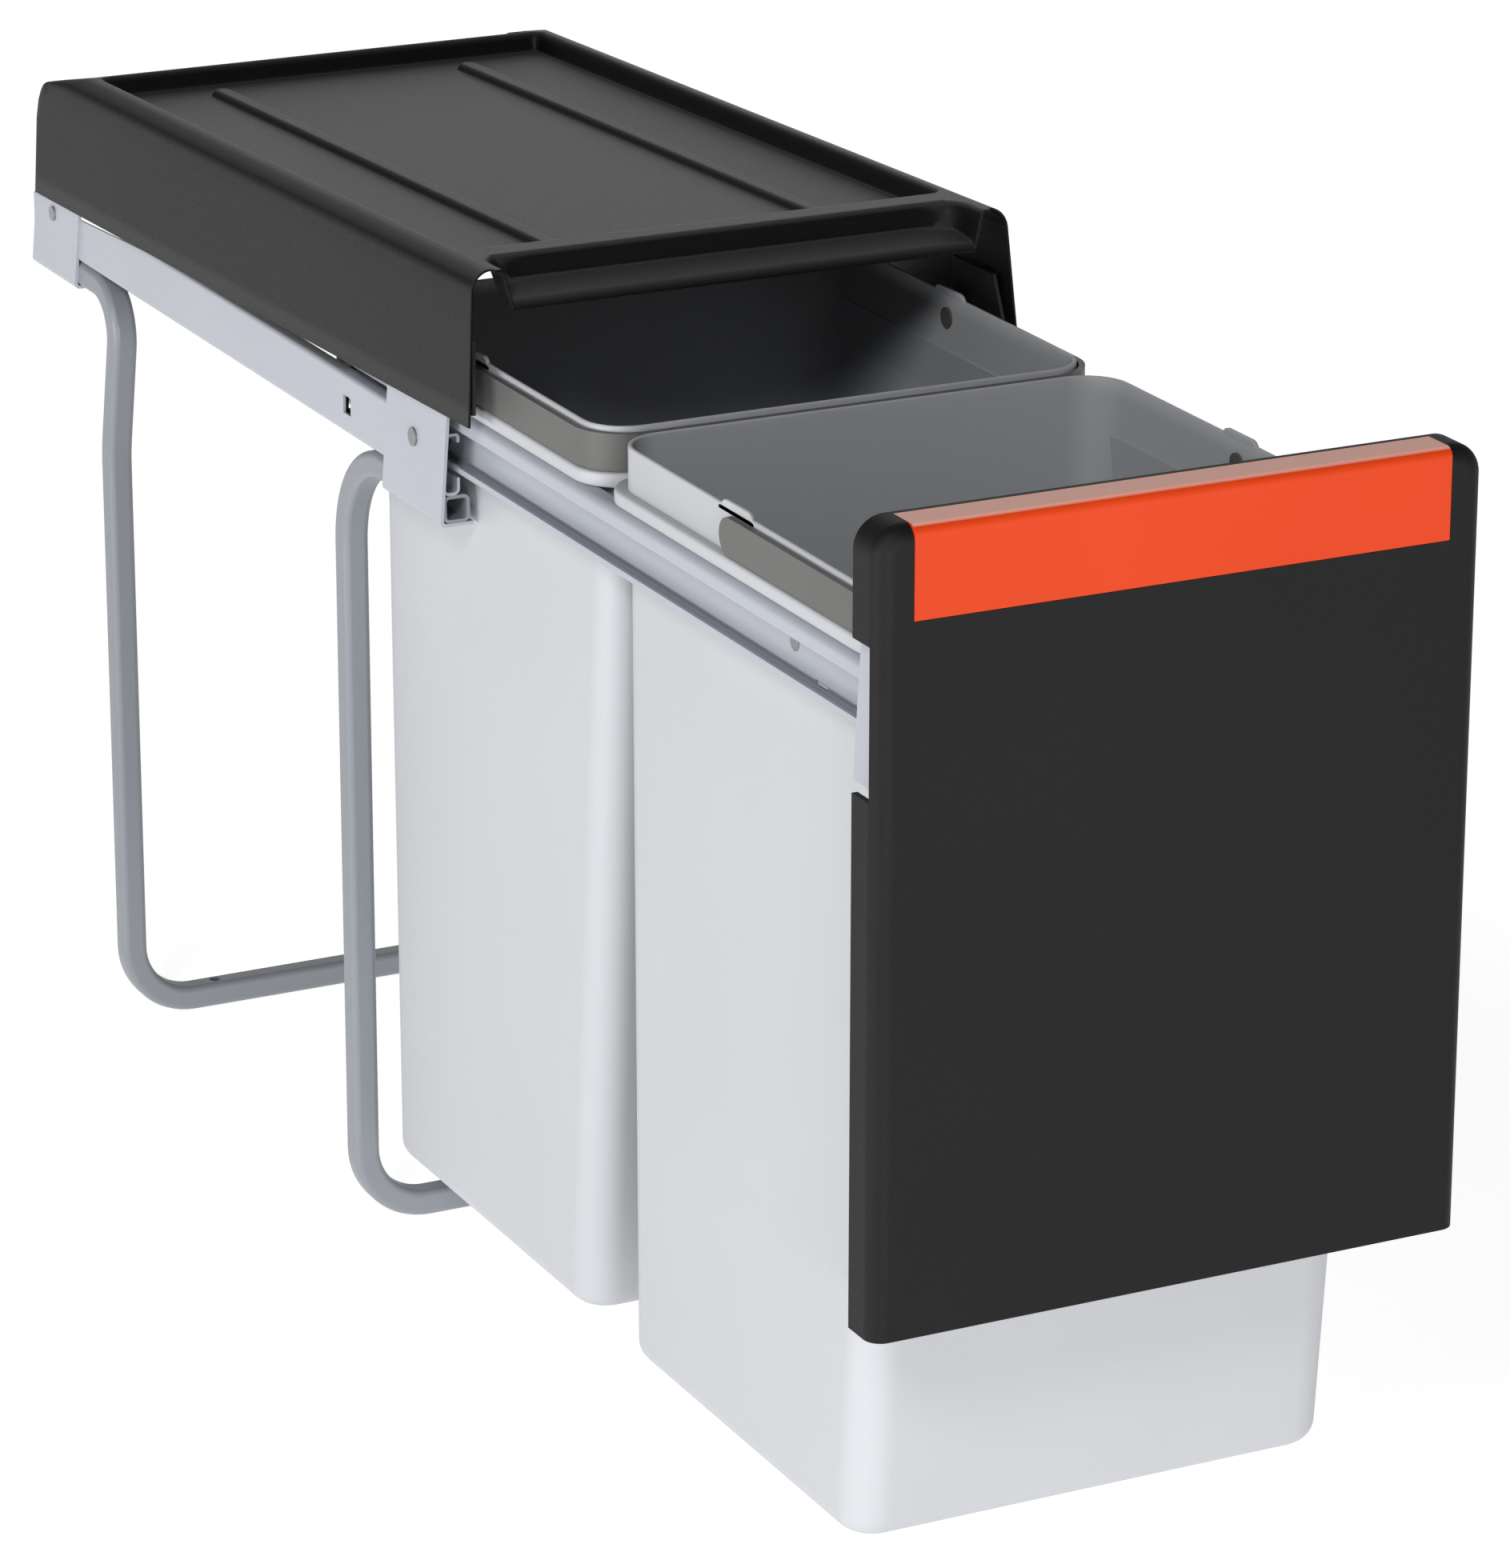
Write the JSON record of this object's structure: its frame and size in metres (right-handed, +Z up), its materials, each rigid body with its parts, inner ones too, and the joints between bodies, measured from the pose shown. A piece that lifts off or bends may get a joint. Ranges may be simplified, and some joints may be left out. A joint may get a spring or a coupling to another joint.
{
  "type": "pull out bin frame",
  "caption": "Pull-out bin frame for a base cabinet: bent tube hoops, roller slides, sheet cover, lift-out bins with swinging handles and a front panel.",
  "frame": {"origin": "centre of the four floor screw holes, at the underside of the hoops", "axes": "+X right seen from the front, +Y into the cabinet along the slide, +Z up"},
  "size_m": [0.256, 0.879, 0.4718],
  "materials": {
    "hoop_paint": "satin powder coat",
    "rail_paint": "satin powder coat",
    "cover_paint": "fine matt powder coat",
    "panel_plastic": "fine matt grain",
    "strip_plastic": "smooth satin",
    "bin_plastic": "smooth matt",
    "bail_plastic": "smooth matt",
    "roller_plastic": "smooth",
    "bright_steel": "zinc plated"
  },
  "bodies": {
    "frame": {"front_hoop": "hoop_paint", "rear_hoop": "hoop_paint", "front_bracket_left": "rail_paint", "front_bracket_right": "rail_paint", "rear_bracket_left": "rail_paint", "rear_bracket_right": "rail_paint", "cabinet_rail_left": "rail_paint", "cabinet_rail_right": "rail_paint", "cover": "cover_paint", "front_roller_axles": "bright_steel", "rail_rivets": "bright_steel", "cover_screws": "bright_steel"},
    "drawer": {"carrier_rail_left": "rail_paint", "carrier_rail_right": "rail_paint", "rear_tie": "rail_paint", "rear_roller_axles": "bright_steel", "panel_bracket_left": "rail_paint", "panel_bracket_right": "rail_paint", "front_panel": "panel_plastic", "grip_strip": "strip_plastic", "panel_screws": "bright_steel", "tie_rivets": "bright_steel", "carrier_rivets": "bright_steel"},
    "front_bin": {"front_bin": "bin_plastic"},
    "front_bail": {"front_bin_bail": "bail_plastic"},
    "rear_bin": {"rear_bin": "bin_plastic"},
    "rear_bail": {"rear_bin_bail": "bail_plastic"},
    "front_roller_left": {"front_roller_left": "roller_plastic"},
    "rear_roller_left": {"rear_roller_left": "roller_plastic"},
    "front_roller_right": {"front_roller_right": "roller_plastic"},
    "rear_roller_right": {"rear_roller_right": "roller_plastic"}
  },
  "joints": [
    {"name": "drawer_slide", "type": "slide", "parent": "frame", "child": "drawer", "axis": [0, -1, 0], "range_m": [-0.34, 0]},
    {"name": "front_bin_lift", "type": "slide", "parent": "drawer", "child": "front_bin", "axis": [0, 0, 1], "range_m": [0, 0.43]},
    {"name": "front_bail_swing", "type": "hinge", "parent": "front_bin", "child": "front_bail", "pos_m": [0, -0.5035, 0.4195], "axis": [-1, 0, 0], "range_deg": [0, 90]},
    {"name": "rear_bin_lift", "type": "slide", "parent": "drawer", "child": "rear_bin", "axis": [0, 0, 1], "range_m": [0, 0.012]},
    {"name": "rear_bail_swing", "type": "hinge", "parent": "rear_bin", "child": "rear_bail", "pos_m": [0, -0.2599, 0.4195], "axis": [-1, 0, 0], "range_deg": [0, 30]},
    {"name": "front_roller_left_spin", "type": "hinge", "parent": "frame", "child": "front_roller_left", "pos_m": [-0.113, -0.2277, 0.3883], "axis": [1, 0, 0], "range_deg": [-2300, 0]},
    {"name": "rear_roller_left_spin", "type": "hinge", "parent": "drawer", "child": "rear_roller_left", "pos_m": [-0.119, -0.13055, 0.38225], "axis": [1, 0, 0], "range_deg": [-1650, 0]},
    {"name": "front_roller_right_spin", "type": "hinge", "parent": "frame", "child": "front_roller_right", "pos_m": [0.113, -0.2277, 0.3883], "axis": [1, 0, 0], "range_deg": [-2300, 0]},
    {"name": "rear_roller_right_spin", "type": "hinge", "parent": "drawer", "child": "rear_roller_right", "pos_m": [0.119, -0.13055, 0.38225], "axis": [1, 0, 0], "range_deg": [-1650, 0]}
  ],
  "couplings": [
    {"joint": "front_roller_left_spin", "follows": "drawer_slide", "rad_per_m": 117.65},
    {"joint": "rear_roller_left_spin", "follows": "drawer_slide", "rad_per_m": 84.388},
    {"joint": "front_roller_right_spin", "follows": "drawer_slide", "rad_per_m": 117.65},
    {"joint": "rear_roller_right_spin", "follows": "drawer_slide", "rad_per_m": 84.388}
  ]
}
